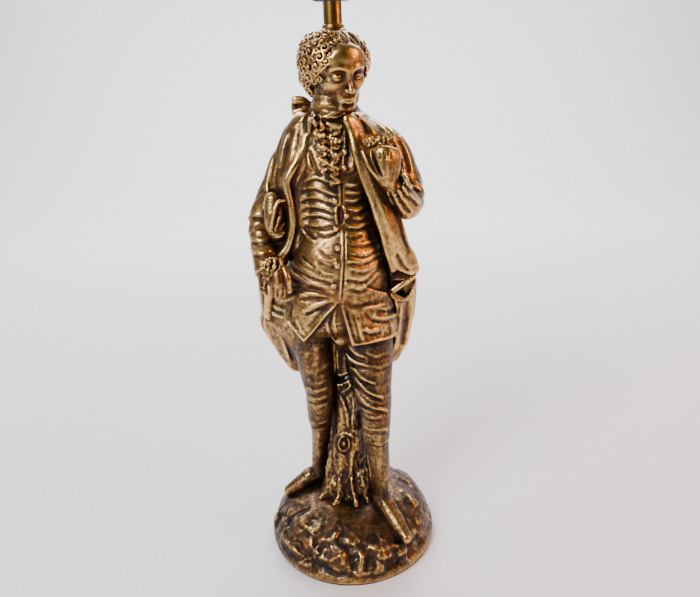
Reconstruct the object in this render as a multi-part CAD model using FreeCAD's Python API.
import FreeCAD, Part
import math
import os
from FreeCAD import Vector

# Figural table lamp: a gentleman in a long coat stands before a tree stump on a round rock base.
# Millimetres, +Z up. The origin is the centre of the underside; the figure faces -Y, its right is -X.

# ---- driving dimensions: base ----
base_diameter = 200.0        # rim of the rock base
base_height = 60.0           # table to the top of the rock, where the figure stands
rim_height = 13.0            # smooth band round the lower edge
base_wall = 5.0              # thickness of the base casting
felt_thickness = 2.0
cover_thickness = 1.5
cover_inset = 6.0            # rim of the casting outside the cover
felt_inset = 2.0

# ---- driving dimensions: figure ----
figure_height = 514.0        # top of the rock to the flat on the crown of the head
casting_wall = 3.0           # wall of the hollow figure castings
coat_wall = 3.5

# ---- driving dimensions: lamp pipe and its fixings ----
pipe_diameter = 9.6          # 1/8 IP running thread
pipe_bore = 6.4
pipe_hole_gap = 0.5          # radial room of the pipe in the castings
fit_gap = 0.05               # radial room of a seated or running fit
nut_across_flats = 14.3
nut_height = 5.0
washer_diameter = 34.0
washer_thickness = 2.0
lock_washer_diameter = 15.0
lock_washer_thickness = 0.8
pipe_below_nut = 4.0

# ---- driving dimensions: cord inlet ----
cord_bore = 6.6
bushing_diameter = 9.5
bushing_flange = 13.0
bushing_flange_thickness = 1.6
bushing_length = 9.0

# ---- driving dimensions: neck ----
neck_diameter = 17.5
neck_wall = 0.9
neck_length = 25.0
collar_diameter = 26.0
collar_height = 6.0

# ---- driving dimensions: socket ----
socket_diameter = 34.0       # outside of the brass shell
socket_sheet = 0.7
cap_height = 21.0
cap_hub_diameter = 15.0
cap_hub_height = 9.0
cap_lap = 4.0                # shell pushed into the cap
shell_length = 38.0
sleeve_thickness = 0.7
core_height = 15.0
screw_shell_bore = 26.4      # E26 thread, major diameter
screw_shell_sheet = 0.5
screw_shell_length = 23.0
contact_length = 9.0
contact_width = 5.0
contact_sheet = 0.5
contact_height = 4.5
contact_recess = 0.1         # top of the contact below the screw shell
knob_diameter = 9.5
knob_length = 17.0
knob_shaft_diameter = 4.8
knob_shaft_reach = 9.0       # shaft inside the core
knob_height_in_core = 7.5

# ---- driving dimensions: harp ----
harp_wire = 3.2
harp_height = 203.0          # ends of the legs to the centre of the top wire
harp_width = 112.0
harp_leg_spacing = 58.0
harp_leg_straight = 30.0
harp_lean = 24.0             # degrees outwards above the straight legs
harp_low_bend = 26.0
harp_high_bend = 60.0
saddle_strip = 1.6
saddle_width = 11.0
saddle_flat = 22.0           # flat under the socket cap
saddle_height = 27.0
prong_length = 7.0
ferrule_diameter = 7.6
ferrule_length = 15.0
hub_side = 12.0
hub_height = 5.0
stud_diameter = 6.1          # 1/4-27 thread
stud_length = 12.0
finial_base_diameter = 15.0
finial_base_height = 5.0
finial_knob_height = 34.0
finial_knob_diameter = 20.0

# ---- worked out ----
base_radius = base_diameter / 2
pipe_radius = pipe_diameter / 2
pipe_hole = pipe_radius + pipe_hole_gap
modelled_height = 514.0      # the figure's own points below are written at this height
modelled_ground = 60.0
figure_scale = figure_height / modelled_height
crown_z = base_height + figure_height
neck_top_z = crown_z + neck_length
cap_seat_z = neck_top_z + saddle_strip
shell_base_z = cap_seat_z + cap_height - cap_lap
shell_top_z = shell_base_z + shell_length
core_base_z = shell_base_z + 1.0
screw_shell_z = core_base_z + core_height
prong_z = cap_seat_z + saddle_height
harp_z = prong_z + prong_length
harp_top_z = harp_z + harp_height
hub_top_z = harp_top_z + hub_height / 2
up = Vector(0, 0, 1)
parts = {}


# ---- shape helpers ----
def cylinder(radius, z_low, z_high, x=0.0, y=0.0):
    return Part.makeCylinder(radius, z_high - z_low, Vector(x, y, z_low), up)


def tube(outer, inner, z_low, z_high):
    return cylinder(outer, z_low, z_high).cut(cylinder(inner, z_low, z_high))


def turned(profile):
    """Solid of revolution about Z from (radius, z) corners."""
    corners = [Vector(r, 0, z) for r, z in profile]
    face = Part.Face(Part.makePolygon(corners + corners[:1]))
    return face.revolve(Vector(0, 0, 0), up, 360)


def on_figure(x, y, z):
    """A point of the figure, which grows about the spot where the pipe leaves the rock."""
    return Vector(x * figure_scale, y * figure_scale,
                  base_height + (z - modelled_ground) * figure_scale)


def loft(sections, inset=0.0):
    """Level ellipses (z, centre x, centre y, half width, half depth), lower ones first."""
    rings = []
    for z, x, y, half_width, half_depth in sections:
        ring = Part.Ellipse(on_figure(x, y, z), half_width * figure_scale - inset,
                            half_depth * figure_scale - inset)
        rings.append(Part.Wire(ring.toShape()))
    return Part.makeLoft(rings, True, False)


def column(sections, inset=0.0):
    """Level circles (z, centre x, centre y, radius), lower ones first."""
    rings = []
    for z, x, y, radius in sections:
        ring = Part.Circle(on_figure(x, y, z), up, radius * figure_scale - inset)
        rings.append(Part.Wire(ring.toShape()))
    return Part.makeLoft(rings, True, False)


def ball(x, y, z, radius):
    return Part.makeSphere(radius * figure_scale, on_figure(x, y, z))


def limb(points, swell=0.4):
    """Cones from point to point (x, y, z, radius), with a slightly larger ball at each joint."""
    shape = None
    for start, end in zip(points, points[1:]):
        first, last = on_figure(*start[:3]), on_figure(*end[:3])
        run = last - first
        if start[3] == end[3]:
            cone = Part.makeCylinder(start[3] * figure_scale, run.Length, first, run)
        else:
            cone = Part.makeCone(start[3] * figure_scale, end[3] * figure_scale,
                                 run.Length, first, run)
        shape = cone if shape is None else shape.fuse(cone)
    for x, y, z, radius in points:
        shape = shape.fuse(ball(x, y, z, radius + swell))
    return shape


def largest(shape):
    return max(shape.Solids, key=lambda solid: solid.Volume)


def pipe_way(z_low, z_high):
    return cylinder(pipe_hole, z_low, z_high)


# ---- base ----
# Rock profile as shares of the radius and of the height above the rim, from the rim inwards.
rock_steps = [(0.975, 0.16), (0.945, 0.38), (0.87, 0.60), (0.68, 0.80), (0.42, 0.93)]


def rock_profile(wall):
    rise = base_height - rim_height
    corners = [(base_radius - wall, rim_height - wall * 0.5)]
    corners += [(base_radius * r - wall, rim_height + rise * z - wall) for r, z in rock_steps]
    corners.append((0, base_height - wall))
    return corners


def rock_envelope():
    """The rock with nothing taken out, down to the table."""
    rise = base_height - rim_height
    outline = [(0, 0), (base_radius, 0), (base_radius, rim_height)]
    outline += [(base_radius * r, rim_height + rise * z) for r, z in rock_steps]
    outline.append((0, base_height))
    return turned(outline)


def cord_way(radius, reach):
    """A level cylinder through the back of the rim, ending reach inside the rim."""
    return Part.makeCylinder(radius, reach, Vector(0, base_radius - reach, cord_z), Vector(0, 1, 0))


cord_z = felt_thickness + rim_height / 2
rock = rock_envelope()
cover_radius = base_radius - cover_inset
hollow = turned([(0, 0), (base_radius - base_wall - 3, 0)] + rock_profile(base_wall + 1.5))
washer_seat_z = base_height - base_wall - 1.5
spot_face_depth = 3.0

rock_base = rock.cut(hollow)
rock_base = rock_base.cut(cylinder(base_radius, 0, felt_thickness))
rock_base = rock_base.cut(cylinder(cover_radius, 0, felt_thickness + cover_thickness))
rock_base = rock_base.cut(pipe_way(0, base_height + 1))
rock_base = rock_base.cut(cord_way(bushing_diameter / 2 + fit_gap, base_radius * 0.3))
rock_base = rock_base.cut(cord_way(bushing_flange / 2 + fit_gap, spot_face_depth))
flat_under_top = cylinder(washer_diameter / 2 + 2, washer_seat_z - 8, washer_seat_z)
parts["rock_base"] = largest(rock_base.cut(flat_under_top))

parts["felt_pad"] = cylinder(base_radius - felt_inset, 0, felt_thickness)
parts["bottom_cover"] = cylinder(cover_radius - fit_gap, felt_thickness,
                                 felt_thickness + cover_thickness)

flange_face = base_radius - spot_face_depth + bushing_flange_thickness
bushing = Part.makeCylinder(bushing_diameter / 2, bushing_length,
                            Vector(0, flange_face - bushing_length, cord_z), Vector(0, 1, 0))
flange = Part.makeCylinder(bushing_flange / 2, bushing_flange_thickness,
                           Vector(0, base_radius - spot_face_depth, cord_z), Vector(0, 1, 0))
cord_hole = Part.makeCylinder(cord_bore / 2, bushing_length + 2,
                              Vector(0, flange_face - bushing_length - 1, cord_z),
                              Vector(0, 1, 0))
parts["cord_bushing"] = bushing.fuse(flange).cut(cord_hole).removeSplitter()

# ---- pipe and its nut ----
lock_washer_z = washer_seat_z - washer_thickness
nut_top_z = lock_washer_z - lock_washer_thickness
nut_base_z = nut_top_z - nut_height
pipe_base_z = nut_base_z - pipe_below_nut
pipe_top_z = cap_seat_z + cap_hub_height - 1.0
parts["lamp_pipe"] = tube(pipe_radius, pipe_bore / 2, pipe_base_z, pipe_top_z)
parts["base_washer"] = tube(washer_diameter / 2, pipe_radius + fit_gap, lock_washer_z,
                            washer_seat_z)


def hexagon(across_flats, z_low, z_high):
    corner = across_flats / 2 / math.cos(math.radians(30))
    corners = [Vector(corner * math.cos(math.radians(60 * i)),
                      corner * math.sin(math.radians(60 * i)), z_low) for i in range(7)]
    return Part.Face(Part.makePolygon(corners)).extrude(up * (z_high - z_low))


def toothed_washer():
    """Ring with short locking teeth round its edge."""
    ring = cylinder(lock_washer_diameter / 2 - 1.5, nut_top_z, lock_washer_z)
    tooth = Part.makeBox(3.0, 1.4, lock_washer_thickness,
                         Vector(lock_washer_diameter / 2 - 3.0, -0.7, nut_top_z))
    for i in range(12):
        turned_tooth = tooth.copy()
        turned_tooth.rotate(Vector(0, 0, 0), up, 30 * i)
        ring = ring.fuse(turned_tooth)
    return ring.cut(cylinder(pipe_radius + fit_gap, nut_top_z, lock_washer_z)).removeSplitter()


parts["lock_washer"] = toothed_washer()
nut = hexagon(nut_across_flats, nut_base_z, nut_top_z)
nut_chamfer = turned([(0, nut_base_z), (nut_across_flats / 2, nut_base_z),
                      (nut_across_flats / 2 + 2, nut_base_z + 1.2),
                      (nut_across_flats / 2 + 2, nut_top_z), (0, nut_top_z)])
nut = nut.common(nut_chamfer)
parts["base_nut"] = nut.cut(cylinder(pipe_radius + fit_gap, nut_base_z, nut_top_z))

# ---- figure: stump and legs ----
stump_sections = [(40, -3, 8, 36), (68, -3, 8, 29), (97, -2.5, 8, 24), (125, -1, 8, 20.5),
                  (153, 0, 8, 17.5), (182, 0, 8, 16), (214, 0, 6, 14), (262, 0, 2, 12),
                  (313, 0, 0, 12)]
right_leg_sections = [(64, -38, 21, 9.5), (92, -38, 17, 8.8), (119, -35, 12, 10.7),
                      (151, -33.5, 6, 14.2), (181, -32, 0, 15.6), (209, -33, -3, 17.7),
                      (253, -38, -2, 20.7), (285, -34, -1, 22), (313, -29, 0, 22)]
left_leg_sections = [(60, 35, -28, 9.5), (88, 34.5, -28, 10), (116, 33, -28, 12.6),
                     (142, 31, -27, 14.3), (168, 30.6, -26, 15.6), (193, 30, -24, 18),
                     (216, 28, -20, 20.6), (254, 25, -11, 22), (285, 26, -6, 22),
                     (313, 26, -4, 22)]
right_shoe = [(-33, 26, 64, 10.5), (-54, 20, 59, 10), (-77, 13, 50, 8)]
left_shoe = [(34, -26, 62, 10.5), (43, -44, 56, 10), (57, -65, 46, 8)]
hip_level = 313              # the legs and the stump end in the waistcoat's floor here
hip_z = base_height + (hip_level - modelled_ground) * figure_scale
ankle_level = 100            # the legs are hollow above this level of the figure

stump_envelope = column(stump_sections)
# The hollow stump opens into the figure and keeps a collar round the pipe at its foot.
stump_hollow = column([s for s in stump_sections if 68 <= s[0] <= 182], casting_wall * 1.5)
parts["tree_stump"] = largest(stump_envelope.cut(rock).cut(stump_hollow)
                              .cut(pipe_way(0, crown_z)))


def leg(sections, shoe):
    """Stocking, breeches and buckled shoe of one leg, down to the rock."""
    hollow_part = column([s for s in sections if s[0] > ankle_level], casting_wall)
    whole = column(sections).fuse(limb(shoe))
    return largest(whole.cut(hollow_part).cut(rock).cut(stump_envelope))


parts["right_leg"] = leg(right_leg_sections, right_shoe)
parts["left_leg"] = leg(left_leg_sections, left_shoe)

# ---- figure: waistcoat, coat, sleeves, hands, hat ----
torso_sections = [(284, -10, -4, 60, 43), (301, -10, -5, 59, 43.5), (318, -9, -6, 57, 43),
                  (345, -6, -8, 53, 42), (367, -4, -10, 48, 41), (393, -1, -9, 40, 35),
                  (422, -2, -8, 37, 33), (450, -4, -6, 38, 31), (475, 0, -2, 44, 27),
                  (492, -2, -4, 26, 22), (508, -4, -8, 19, 18.5)]
coat_sections = [(208, -3, 28, 62, 18), (240, -4, 22, 74, 28), (275, -8, 14, 80, 38),
                 (300, -9, 8, 77, 44), (330, -2, 4, 72, 45), (360, 4, 2, 66, 45),
                 (395, 4, 0, 58, 42), (430, 4, 0, 60, 40), (460, 4, 0, 62, 35),
                 (480, 5, 2, 52, 28), (496, 1, 3, 31, 25), (508, -2, 0, 23, 20)]
coat_opening = [(-16, 520), (6, 520), (16, 470), (28, 430), (42, 380), (52, 330), (60, 280),
                (64, 195), (-78, 195), (-76, 280), (-68, 330), (-52, 380), (-46, 430),
                (-34, 470)]
opening_back = -2.0          # the coat is open in front of this plane
floor_thickness = 5.0

torso_envelope = loft(torso_sections)
skirt_hollow = loft(torso_sections[:4], casting_wall).common(
    Part.makeBox(400, 400, hip_z, Vector(-200, -200, 0)))
chest_hollow = loft(torso_sections[2:-2], casting_wall).common(
    Part.makeBox(400, 400, crown_z, Vector(-200, -200, hip_z + floor_thickness)))
parts["torso"] = largest(torso_envelope.cut(skirt_hollow).cut(chest_hollow)
                         .cut(pipe_way(0, crown_z)))
for name in ("right_leg", "left_leg"):
    parts[name] = largest(parts[name].cut(parts["torso"]))

opening_corners = [on_figure(x, -150, z) for x, z in coat_opening]
opening_face = Part.Face(Part.makePolygon(opening_corners + opening_corners[:1]))
front_opening = opening_face.extrude(Vector(0, (150 + opening_back) * figure_scale, 0))
coat_envelope = loft(coat_sections)
coat = coat_envelope.cut(loft(coat_sections[:-1], coat_wall)).cut(torso_envelope)
coat = coat.cut(front_opening).cut(parts["right_leg"]).cut(parts["left_leg"])
parts["coat"] = largest(coat.cut(stump_envelope).cut(pipe_way(0, crown_z)))

right_sleeve_points = [(-50, 3, 466, 17), (-66, 4, 437, 14.5), (-83, -2, 404, 13),
                       (-79, -24, 374, 13), (-74, -37, 354, 13.5)]
left_sleeve_points = [(56, 3, 464, 17), (68, -3, 437, 15), (77, -14, 412, 13.5),
                      (62, -34, 425, 12), (50, -46, 440, 12.5)]
right_hand_points = [(-70, -44, 346, 9), (-61, -48, 336, 8), (-56, -48, 330, 7)]
left_hand_points = [(45, -51, 450, 10), (42, -54, 462, 10), (37, -56, 467, 7)]
bodies_inside = coat_envelope.fuse(torso_envelope)

parts["right_sleeve"] = largest(limb(right_sleeve_points).cut(bodies_inside))
parts["left_sleeve"] = largest(limb(left_sleeve_points).cut(bodies_inside))
parts["right_hand"] = largest(limb(right_hand_points).cut(parts["right_sleeve"])
                              .cut(bodies_inside))
parts["left_hand"] = largest(limb(left_hand_points).cut(parts["left_sleeve"])
                             .cut(bodies_inside))
hat_points = [(-64, -24, 418, 7), (-63, -23, 400, 11), (-64, -19, 384, 7)]
parts["hat"] = largest(limb(hat_points).cut(parts["right_sleeve"]).cut(bodies_inside))

# ---- figure: head ----
head_sections = [(503, -4, -26, 13), (512, -4, -24, 20), (525, -2, -18, 28), (540, 0, -12, 32),
                 (553, 1, -8, 32.5), (565, 1, -5, 26), (574, 0, -2, 17)]
neck_sections = [(498, -3, -5, 16.5), (522, -2, -9, 16)]
nose_points = [(-4, -44, 537, 3.0), (-4, -47, 529, 3.6)]
side_curl_points = [(-28, -14, 549, 9), (-30, -12, 536, 9)]
far_curl_points = [(28, -12, 547, 9), (28, -10, 535, 9)]
tied_hair_points = [(-14, 20, 530, 13), (-27, 27, 511, 9)]

head = column(head_sections)
for points in (nose_points, side_curl_points, far_curl_points, tied_hair_points):
    head = head.fuse(limb(points))
head = head.fuse(column(neck_sections))
head_hollow = column([s for s in head_sections if 512 <= s[0] <= 565], casting_wall * 1.5)
head = head.cut(head_hollow).cut(bodies_inside).cut(pipe_way(0, crown_z + 20))
parts["head"] = largest(head.cut(cylinder(60 * figure_scale, crown_z, crown_z + 40)))

# ---- neck ----
neck_radius = neck_diameter / 2
parts["neck_tube"] = tube(neck_radius, neck_radius - neck_wall, crown_z, neck_top_z)
collar_radius = collar_diameter / 2
collar_bore = neck_radius + fit_gap
parts["neck_collar"] = turned([
    (collar_bore, crown_z), (collar_radius, crown_z), (collar_radius, crown_z + 1.2),
    (collar_radius - 1.2, crown_z + 2.0), (collar_bore + 2.2, crown_z + 3.4),
    (collar_bore + 1.4, crown_z + collar_height - 0.6),
    (collar_bore + 0.8, crown_z + collar_height), (collar_bore, crown_z + collar_height)])

# ---- harp saddle: a bent strip with a round prong at each end ----
leg_x = harp_leg_spacing / 2


def saddle_outline(offset):
    """Half outline in X and Z of the strip's lower (0) or upper (strip thickness) face."""
    arm_x = leg_x + saddle_strip / 2 - offset
    bend = arm_x - saddle_flat / 2
    low_z = neck_top_z + offset
    middle = Vector(saddle_flat / 2 + bend * math.sin(math.radians(45)), 0,
                    low_z + bend * (1 - math.cos(math.radians(45))))
    return (Vector(saddle_flat / 2, 0, low_z), middle, Vector(arm_x, 0, low_z + bend))


def saddle_half(side):
    lower = [Vector(p.x * side, -saddle_width / 2, p.z) for p in saddle_outline(0)]
    upper = [Vector(p.x * side, -saddle_width / 2, p.z) for p in saddle_outline(saddle_strip)]
    foot_low = Vector(0, -saddle_width / 2, neck_top_z)
    foot_high = Vector(0, -saddle_width / 2, cap_seat_z)
    end_low = Vector(lower[2].x, lower[2].y, prong_z)
    end_high = Vector(upper[2].x, upper[2].y, prong_z)
    edges = [Part.makeLine(foot_low, lower[0]), Part.Arc(*lower).toShape(),
             Part.makeLine(lower[2], end_low), Part.makeLine(end_low, end_high),
             Part.makeLine(end_high, upper[2]), Part.Arc(*reversed(upper)).toShape(),
             Part.makeLine(upper[0], foot_high), Part.makeLine(foot_high, foot_low)]
    strip = Part.Face(Part.Wire(edges)).extrude(Vector(0, saddle_width, 0))
    prong = cylinder(harp_wire / 2, prong_z - 3.0, harp_z, leg_x * side)
    return strip.fuse(prong)


saddle = saddle_half(1).fuse(saddle_half(-1))
parts["harp_saddle"] = saddle.cut(cylinder(pipe_radius + fit_gap, neck_top_z - 1,
                                           cap_seat_z + 1)).removeSplitter()

# ---- socket ----
shell_radius = socket_diameter / 2
hub_radius = cap_hub_diameter / 2
cap_radius = shell_radius + fit_gap + socket_sheet
cap_top_z = cap_seat_z + cap_height
cap_shoulder_z = cap_top_z - cap_lap - 5.0
parts["socket_cap"] = turned([
    (pipe_radius + fit_gap, cap_seat_z), (hub_radius, cap_seat_z),
    (hub_radius, cap_seat_z + cap_hub_height - 2), (cap_radius - 3.5, cap_shoulder_z),
    (cap_radius, cap_shoulder_z + 3.5), (cap_radius, cap_top_z),
    (cap_radius - socket_sheet, cap_top_z), (cap_radius - socket_sheet, cap_shoulder_z + 3.9),
    (cap_radius - 4.2, cap_shoulder_z + socket_sheet),
    (hub_radius - 0.7, cap_seat_z + cap_hub_height),
    (pipe_radius + fit_gap, cap_seat_z + cap_hub_height)])
set_screw_z = cap_seat_z + 3.5
set_screw_radius = 1.6
set_screw_way = Part.makeCylinder(set_screw_radius + fit_gap, hub_radius + 1,
                                  Vector(0, 0, set_screw_z), Vector(0, 1, 0))
parts["socket_cap"] = largest(parts["socket_cap"].cut(set_screw_way))
set_screw = Part.makeCylinder(set_screw_radius, hub_radius + 1.5 - pipe_radius - fit_gap,
                              Vector(0, pipe_radius + fit_gap, set_screw_z), Vector(0, 1, 0))
set_screw_head = Part.makeCylinder(set_screw_radius + 1.0, 1.6,
                                   Vector(0, hub_radius + fit_gap, set_screw_z),
                                   Vector(0, 1, 0))
slot = Part.makeBox(6, 0.6, 0.7, Vector(-3, hub_radius + fit_gap + 1.1, set_screw_z - 0.35))
parts["cap_set_screw"] = set_screw.fuse(set_screw_head).cut(slot).removeSplitter()

knob_z = core_base_z + knob_height_in_core
knob_way = Part.makeCylinder(knob_shaft_diameter / 2 + fit_gap, shell_radius + 2,
                             Vector(0, 0, knob_z), Vector(0, -1, 0))
wide_knob_way = Part.makeCylinder(knob_shaft_diameter / 2 + 0.6, shell_radius + 2,
                                  Vector(0, 0, knob_z), Vector(0, -1, 0))
bead = 1.0
shell_bore = shell_radius - socket_sheet
socket_shell = turned([
    (shell_bore, shell_base_z), (shell_radius, shell_base_z),
    (shell_radius, shell_top_z - 7), (shell_radius + bead, shell_top_z - 6),
    (shell_radius + bead, shell_top_z - 4), (shell_radius, shell_top_z - 3),
    (shell_radius, shell_top_z - 1), (shell_radius - 0.3, shell_top_z),
    (shell_bore, shell_top_z)])
parts["socket_shell"] = socket_shell.cut(wide_knob_way)

sleeve_outer = shell_bore - fit_gap
sleeve_bore = sleeve_outer - sleeve_thickness
insulating_sleeve = tube(sleeve_outer, sleeve_bore, shell_base_z + 0.5, shell_top_z - 0.8)
parts["insulating_sleeve"] = insulating_sleeve.cut(wide_knob_way)

core_radius = sleeve_bore - fit_gap
knob_blind_way = Part.makeCylinder(knob_shaft_diameter / 2 + fit_gap, knob_shaft_reach + 0.4,
                                   Vector(0, -core_radius + knob_shaft_reach + 0.4, knob_z),
                                   Vector(0, -1, 0))
wire_way = Part.makeBox(9, 5, core_height - 4, Vector(-4.5, core_radius - 5, core_base_z))
terminal_radius, terminal_head = 1.7, 3.0
terminal_z = core_base_z + 6.0
terminal_depth = 2.6


def terminal(side):
    """Binding screw on one side of the core, its head in a recess."""
    axis = Vector(side, 0, 0)
    seat = core_radius - terminal_depth
    head = Part.makeCylinder(terminal_head, 1.7, Vector(seat * side, 0, terminal_z), axis)
    stem = Part.makeCylinder(terminal_radius, 5.0, Vector((seat - 5.0) * side, 0, terminal_z),
                             axis)
    cut = Part.makeBox(0.7, 8, 0.8, Vector(seat * side + side * 1.4 - 0.35, -4,
                                           terminal_z - 0.4))
    return head.fuse(stem).cut(cut).removeSplitter()


def terminal_way(side):
    axis = Vector(side, 0, 0)
    seat = core_radius - terminal_depth
    recess = Part.makeCylinder(terminal_head + 0.6, terminal_depth + 1,
                               Vector(seat * side, 0, terminal_z), axis)
    stem = Part.makeCylinder(terminal_radius + fit_gap, 5.2,
                             Vector((seat - 5.2) * side, 0, terminal_z), axis)
    return recess.fuse(stem)


# The centre contact is a bent spring in a recess, just below the screw shell.
contact_z = screw_shell_z - contact_recess - contact_height
contact_back = -contact_length / 2
contact_well = Part.makeBox(contact_length + 1, contact_width + 1, contact_height + 1,
                            Vector(contact_back - 0.5, -contact_width / 2 - 0.5, contact_z))
core = cylinder(core_radius, core_base_z, screw_shell_z).cut(knob_blind_way).cut(wire_way)
core = core.cut(contact_well)
parts["socket_core"] = largest(core.cut(terminal_way(1)).cut(terminal_way(-1)))
parts["terminal_screws"] = Part.makeCompound([terminal(1), terminal(-1)])

screw_bore = screw_shell_bore / 2
screw_outer = screw_bore + screw_shell_sheet
parts["screw_shell"] = tube(screw_outer, screw_bore, screw_shell_z,
                            min(screw_shell_z + screw_shell_length, shell_top_z - 1.5))
contact_foot = Part.makeBox(contact_length - 1, contact_width, contact_sheet,
                            Vector(contact_back, -contact_width / 2, contact_z))
contact_riser = Part.makeBox(contact_sheet, contact_width, contact_height - contact_sheet,
                             Vector(contact_back, -contact_width / 2, contact_z))
contact_tongue = Part.makeBox(contact_length, contact_width, contact_sheet,
                              Vector(contact_back, -contact_width / 2,
                                     contact_z + contact_height - contact_sheet))
parts["center_contact"] = contact_foot.fuse(contact_riser).fuse(contact_tongue).removeSplitter()

# ---- switch knob: a fluted key on its shaft, turning about -Y ----
knob_radius = knob_diameter / 2
knob_start = shell_radius + 1.2
knob_body = Part.makeCylinder(knob_radius, knob_length, Vector(0, -knob_start, knob_z),
                              Vector(0, -1, 0))
knob_waist = Part.makeTorus(knob_radius + 1.6, 3.0, Vector(0, -knob_start - 6.5, knob_z),
                            Vector(0, -1, 0))
flute_count = 12
knob_body = knob_body.cut(knob_waist)
for i in range(flute_count):
    angle = math.radians(360 / flute_count * i)
    flute = Part.makeCylinder(0.6, knob_length - 10,
                              Vector(knob_radius * math.cos(angle), -knob_start - 10,
                                     knob_z + knob_radius * math.sin(angle)), Vector(0, -1, 0))
    knob_body = knob_body.cut(flute)
knob_shaft = Part.makeCylinder(knob_shaft_diameter / 2,
                               knob_start - core_radius + knob_shaft_reach + 1,
                               Vector(0, -core_radius + knob_shaft_reach, knob_z),
                               Vector(0, -1, 0))
parts["switch_knob"] = largest(knob_body.fuse(knob_shaft).removeSplitter())

# ---- harp: one bent wire, its top hub, the sliding ferrules and the finial ----


def harp_half(side):
    """Centre line of one leg, from its foot to the hub, as lines and tangent arcs."""
    lean = math.radians(harp_lean)
    half_width = harp_width / 2
    top_bend = half_width - hub_side / 2
    points = [Vector(leg_x, 0, harp_z), Vector(leg_x, 0, harp_z + harp_leg_straight)]

    def arc_end(start, heading, turn, radius):
        """Mid point and end of an arc; a positive turn bends outwards."""
        sign = 1 if turn > 0 else -1
        normal = Vector(math.cos(heading), 0, -math.sin(heading)) * sign
        centre = start + normal * radius
        ends = []
        for share in (0.5, 1.0):
            now = heading + turn * share
            ends.append(centre - Vector(math.cos(now), 0, -math.sin(now)) * sign * radius)
        return ends

    low_mid, low_end = arc_end(points[1], 0.0, lean, harp_low_bend)
    high_rise = harp_high_bend * (1 - math.cos(lean))
    run = (half_width - high_rise - low_end.x) / math.sin(lean)
    lean_end = low_end + Vector(math.sin(lean), 0, math.cos(lean)) * run
    high_mid, high_end = arc_end(lean_end, lean, -lean, harp_high_bend)
    top_start = Vector(high_end.x, 0, harp_top_z - top_bend)
    top_mid, top_end = arc_end(top_start, 0.0, -math.pi / 2, top_bend)

    def flip(point):
        return Vector(point.x * side, 0, point.z)

    edges = [Part.makeLine(flip(points[0]), flip(points[1])),
             Part.Arc(flip(points[1]), flip(low_mid), flip(low_end)).toShape(),
             Part.makeLine(flip(low_end), flip(lean_end)),
             Part.Arc(flip(lean_end), flip(high_mid), flip(high_end)).toShape(),
             Part.makeLine(flip(high_end), flip(top_start)),
             Part.Arc(flip(top_start), flip(top_mid), flip(top_end)).toShape()]
    return Part.Wire(edges)


def harp_leg(side):
    foot = Part.Circle(Vector(leg_x * side, 0, harp_z), up, harp_wire / 2)
    return harp_half(side).makePipeShell([Part.Wire(foot.toShape())], True, False)


hub = Part.makeBox(hub_side, hub_side * 0.8, hub_height,
                   Vector(-hub_side / 2, -hub_side * 0.4, harp_top_z - hub_height / 2))
hub_edges = [e for e in hub.Edges if abs(e.tangentAt(e.FirstParameter).z) > 0.9]
stud = cylinder(stud_diameter / 2, hub_top_z - 1, hub_top_z + stud_length)
parts["harp_stud"] = hub.makeFillet(2.0, hub_edges).fuse(stud).removeSplitter()
parts["harp"] = Part.makeCompound([harp_leg(1), harp_leg(-1)])

ferrule_bore = harp_wire / 2 + fit_gap
ferrule_z = prong_z
for name, side in (("right_ferrule", -1), ("left_ferrule", 1)):
    outer = cylinder(ferrule_diameter / 2, ferrule_z, ferrule_z + ferrule_length, leg_x * side)
    rims = [e for e in outer.Edges if isinstance(e.Curve, Part.Circle)]
    outer = outer.makeChamfer(0.8, rims)
    parts[name] = outer.cut(cylinder(ferrule_bore, ferrule_z - 1, ferrule_z + ferrule_length + 1,
                                     leg_x * side))

stud_way = cylinder(stud_diameter / 2 + fit_gap, hub_top_z - 1,
                    hub_top_z + stud_length + 0.5)
base_top_z = hub_top_z + finial_base_height
base_r = finial_base_diameter / 2
finial_base = turned([(0, hub_top_z), (base_r - 1.5, hub_top_z), (base_r, hub_top_z + 1.5),
                      (base_r, hub_top_z + 3.2), (base_r - 2, base_top_z), (0, base_top_z)])
parts["finial_base"] = finial_base.cut(stud_way)

knob_r = finial_knob_diameter / 2
knob_foot_z = base_top_z
ball_centre_z = knob_foot_z + 8.0 + knob_r
knob_stem = turned([(0, knob_foot_z), (4.9, knob_foot_z), (4.9, knob_foot_z + 6.5),
                    (6.4, knob_foot_z + 8.0), (6.4, knob_foot_z + 9.5), (0, knob_foot_z + 9.5)])
knob_ball = Part.makeSphere(knob_r, Vector(0, 0, ball_centre_z))
tip_z = knob_foot_z + finial_knob_height
knob_tip = turned([(0, ball_centre_z), (3.4, ball_centre_z), (3.4, tip_z - 5.5),
                   (4.2, tip_z - 4.0), (2.6, tip_z - 1.2), (0, tip_z)])
parts["finial_knob"] = largest(knob_stem.fuse(knob_ball).fuse(knob_tip).cut(stud_way)
                               .removeSplitter())

# ---- write one file per piece ----
os.makedirs("parts", exist_ok=True)
for name, shape in parts.items():
    if not shape.isValid():
        print("not valid:", name)
    shape.exportStep("parts/" + name + ".step")
    box = shape.BoundBox
    print(f"{name:18s} solids {len(shape.Solids)} volume {shape.Volume:10.0f} "
          f"x {box.XMin:7.1f} {box.XMax:7.1f} y {box.YMin:7.1f} {box.YMax:7.1f} "
          f"z {box.ZMin:7.1f} {box.ZMax:7.1f}")
